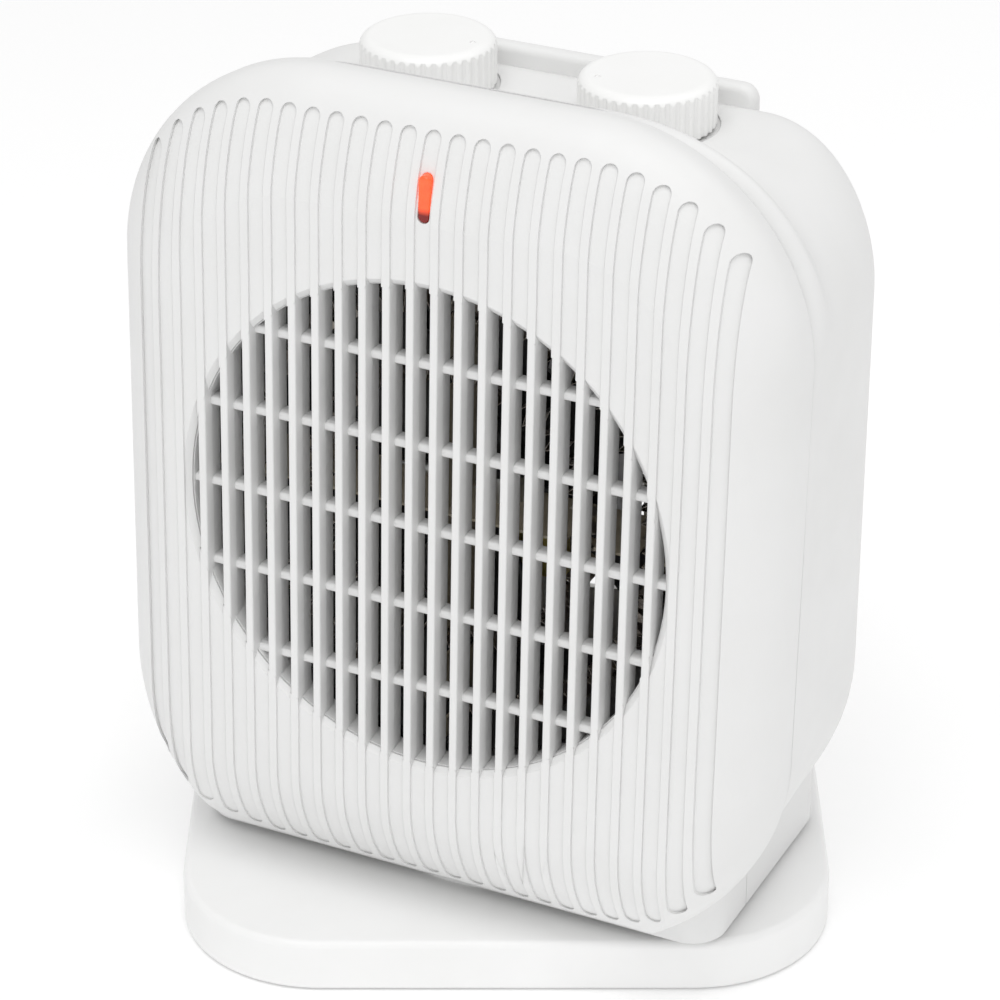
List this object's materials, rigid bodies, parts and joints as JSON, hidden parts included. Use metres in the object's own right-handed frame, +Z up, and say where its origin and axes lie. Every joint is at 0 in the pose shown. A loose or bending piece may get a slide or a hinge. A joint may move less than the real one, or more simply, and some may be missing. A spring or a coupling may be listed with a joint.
{
  "type": "oscillating fan heater",
  "caption": "Desktop fan heater: a fluted head with a round barred grille and two knobs on top swings on a low rounded base.",
  "frame": {"origin": "on the swivel axis, in the plane that the four rubber feet rest on", "axes": "+Z up; -Y is the way the base faces; +X to the right of the base seen from its front; the head rests turned 25.9 degrees about -Z"},
  "size_m": [0.2206, 0.1725, 0.2791],
  "materials": {
    "white_abs": "satin white with a fine moulded grain",
    "knob_white": "smooth white",
    "plated_steel": "bright zinc plate",
    "foot_rubber": "matt grey",
    "gland_plastic": "matt",
    "glide_plastic": "waxy natural",
    "red_lens": "clear red, polished",
    "lamp_glass": "clear",
    "control_plastic": "matt black",
    "mica": "flaky sheet",
    "ribbon_alloy": "bright resistance alloy",
    "lamination_steel": "dark laminated steel",
    "coil_wrap": "yellow insulating tape",
    "bearing_alloy": "die cast",
    "fan_plastic": "matt black"
  },
  "bodies": {
    "base": {"base_shell": "white_abs", "base_plate": "white_abs", "base_screws": "plated_steel", "rubber_feet": "foot_rubber", "swivel_spindle": "plated_steel", "flange_screws": "plated_steel", "spindle_clip": "plated_steel", "glide_ring": "glide_plastic", "swivel_lever": "plated_steel"},
    "head": {"front_shell": "white_abs", "rear_shell": "white_abs", "cord_gland": "gland_plastic", "indicator_lens": "red_lens", "neon_lamp": "lamp_glass", "rotary_switch": "control_plastic", "thermostat": "control_plastic", "air_duct": "control_plastic", "mica_frame": "mica", "heating_ribbon_outer": "ribbon_alloy", "heating_ribbon_inner": "ribbon_alloy", "thermal_cutout": "plated_steel", "thermal_fuse": "plated_steel", "motor_stator": "lamination_steel", "motor_coil": "coil_wrap", "motor_bridge_front": "bearing_alloy", "motor_bridge_rear": "bearing_alloy", "motor_mount": "control_plastic", "motor_screws": "plated_steel", "shell_screws": "plated_steel", "terminal_block": "control_plastic", "oscillation_motor": "plated_steel", "oscillation_bracket": "plated_steel", "oscillation_screws": "plated_steel"},
    "mode_knob": {"mode_knob": "knob_white", "mode_shaft": "plated_steel"},
    "thermostat_knob": {"thermostat_knob": "knob_white", "thermostat_shaft": "plated_steel"},
    "fan": {"fan_impeller": "fan_plastic", "motor_shaft": "plated_steel", "motor_rotor": "lamination_steel"},
    "crank": {"crank": "control_plastic", "crank_shaft": "plated_steel"}
  },
  "joints": [
    {"name": "oscillation", "type": "hinge", "parent": "base", "child": "head", "pos_m": [0, 0, 0.0196], "axis": [0, 0, 1], "range_deg": [-9, 61]},
    {"name": "mode_knob_turn", "type": "hinge", "parent": "head", "child": "mode_knob", "pos_m": [-0.02311, 0.03323, 0.2565], "axis": [0, 0, 1], "range_deg": [-45, 90]},
    {"name": "thermostat_knob_turn", "type": "hinge", "parent": "head", "child": "thermostat_knob", "pos_m": [0.0404, 0.00239, 0.2565], "axis": [0, 0, 1], "range_deg": [-60, 210]},
    {"name": "fan_spin", "type": "hinge", "parent": "head", "child": "fan", "pos_m": [0, 0, 0.1496], "axis": [0.4368, 0.8996, 0], "continuous": true},
    {"name": "crank_turn", "type": "hinge", "parent": "head", "child": "crank", "pos_m": [0.00961, 0.01979, 0.0332], "axis": [0, 0, 1], "range_deg": [-179, 27]}
  ],
  "couplings": [
    {"joint": "crank_turn", "follows": "oscillation", "ratio": -2.92}
  ]
}
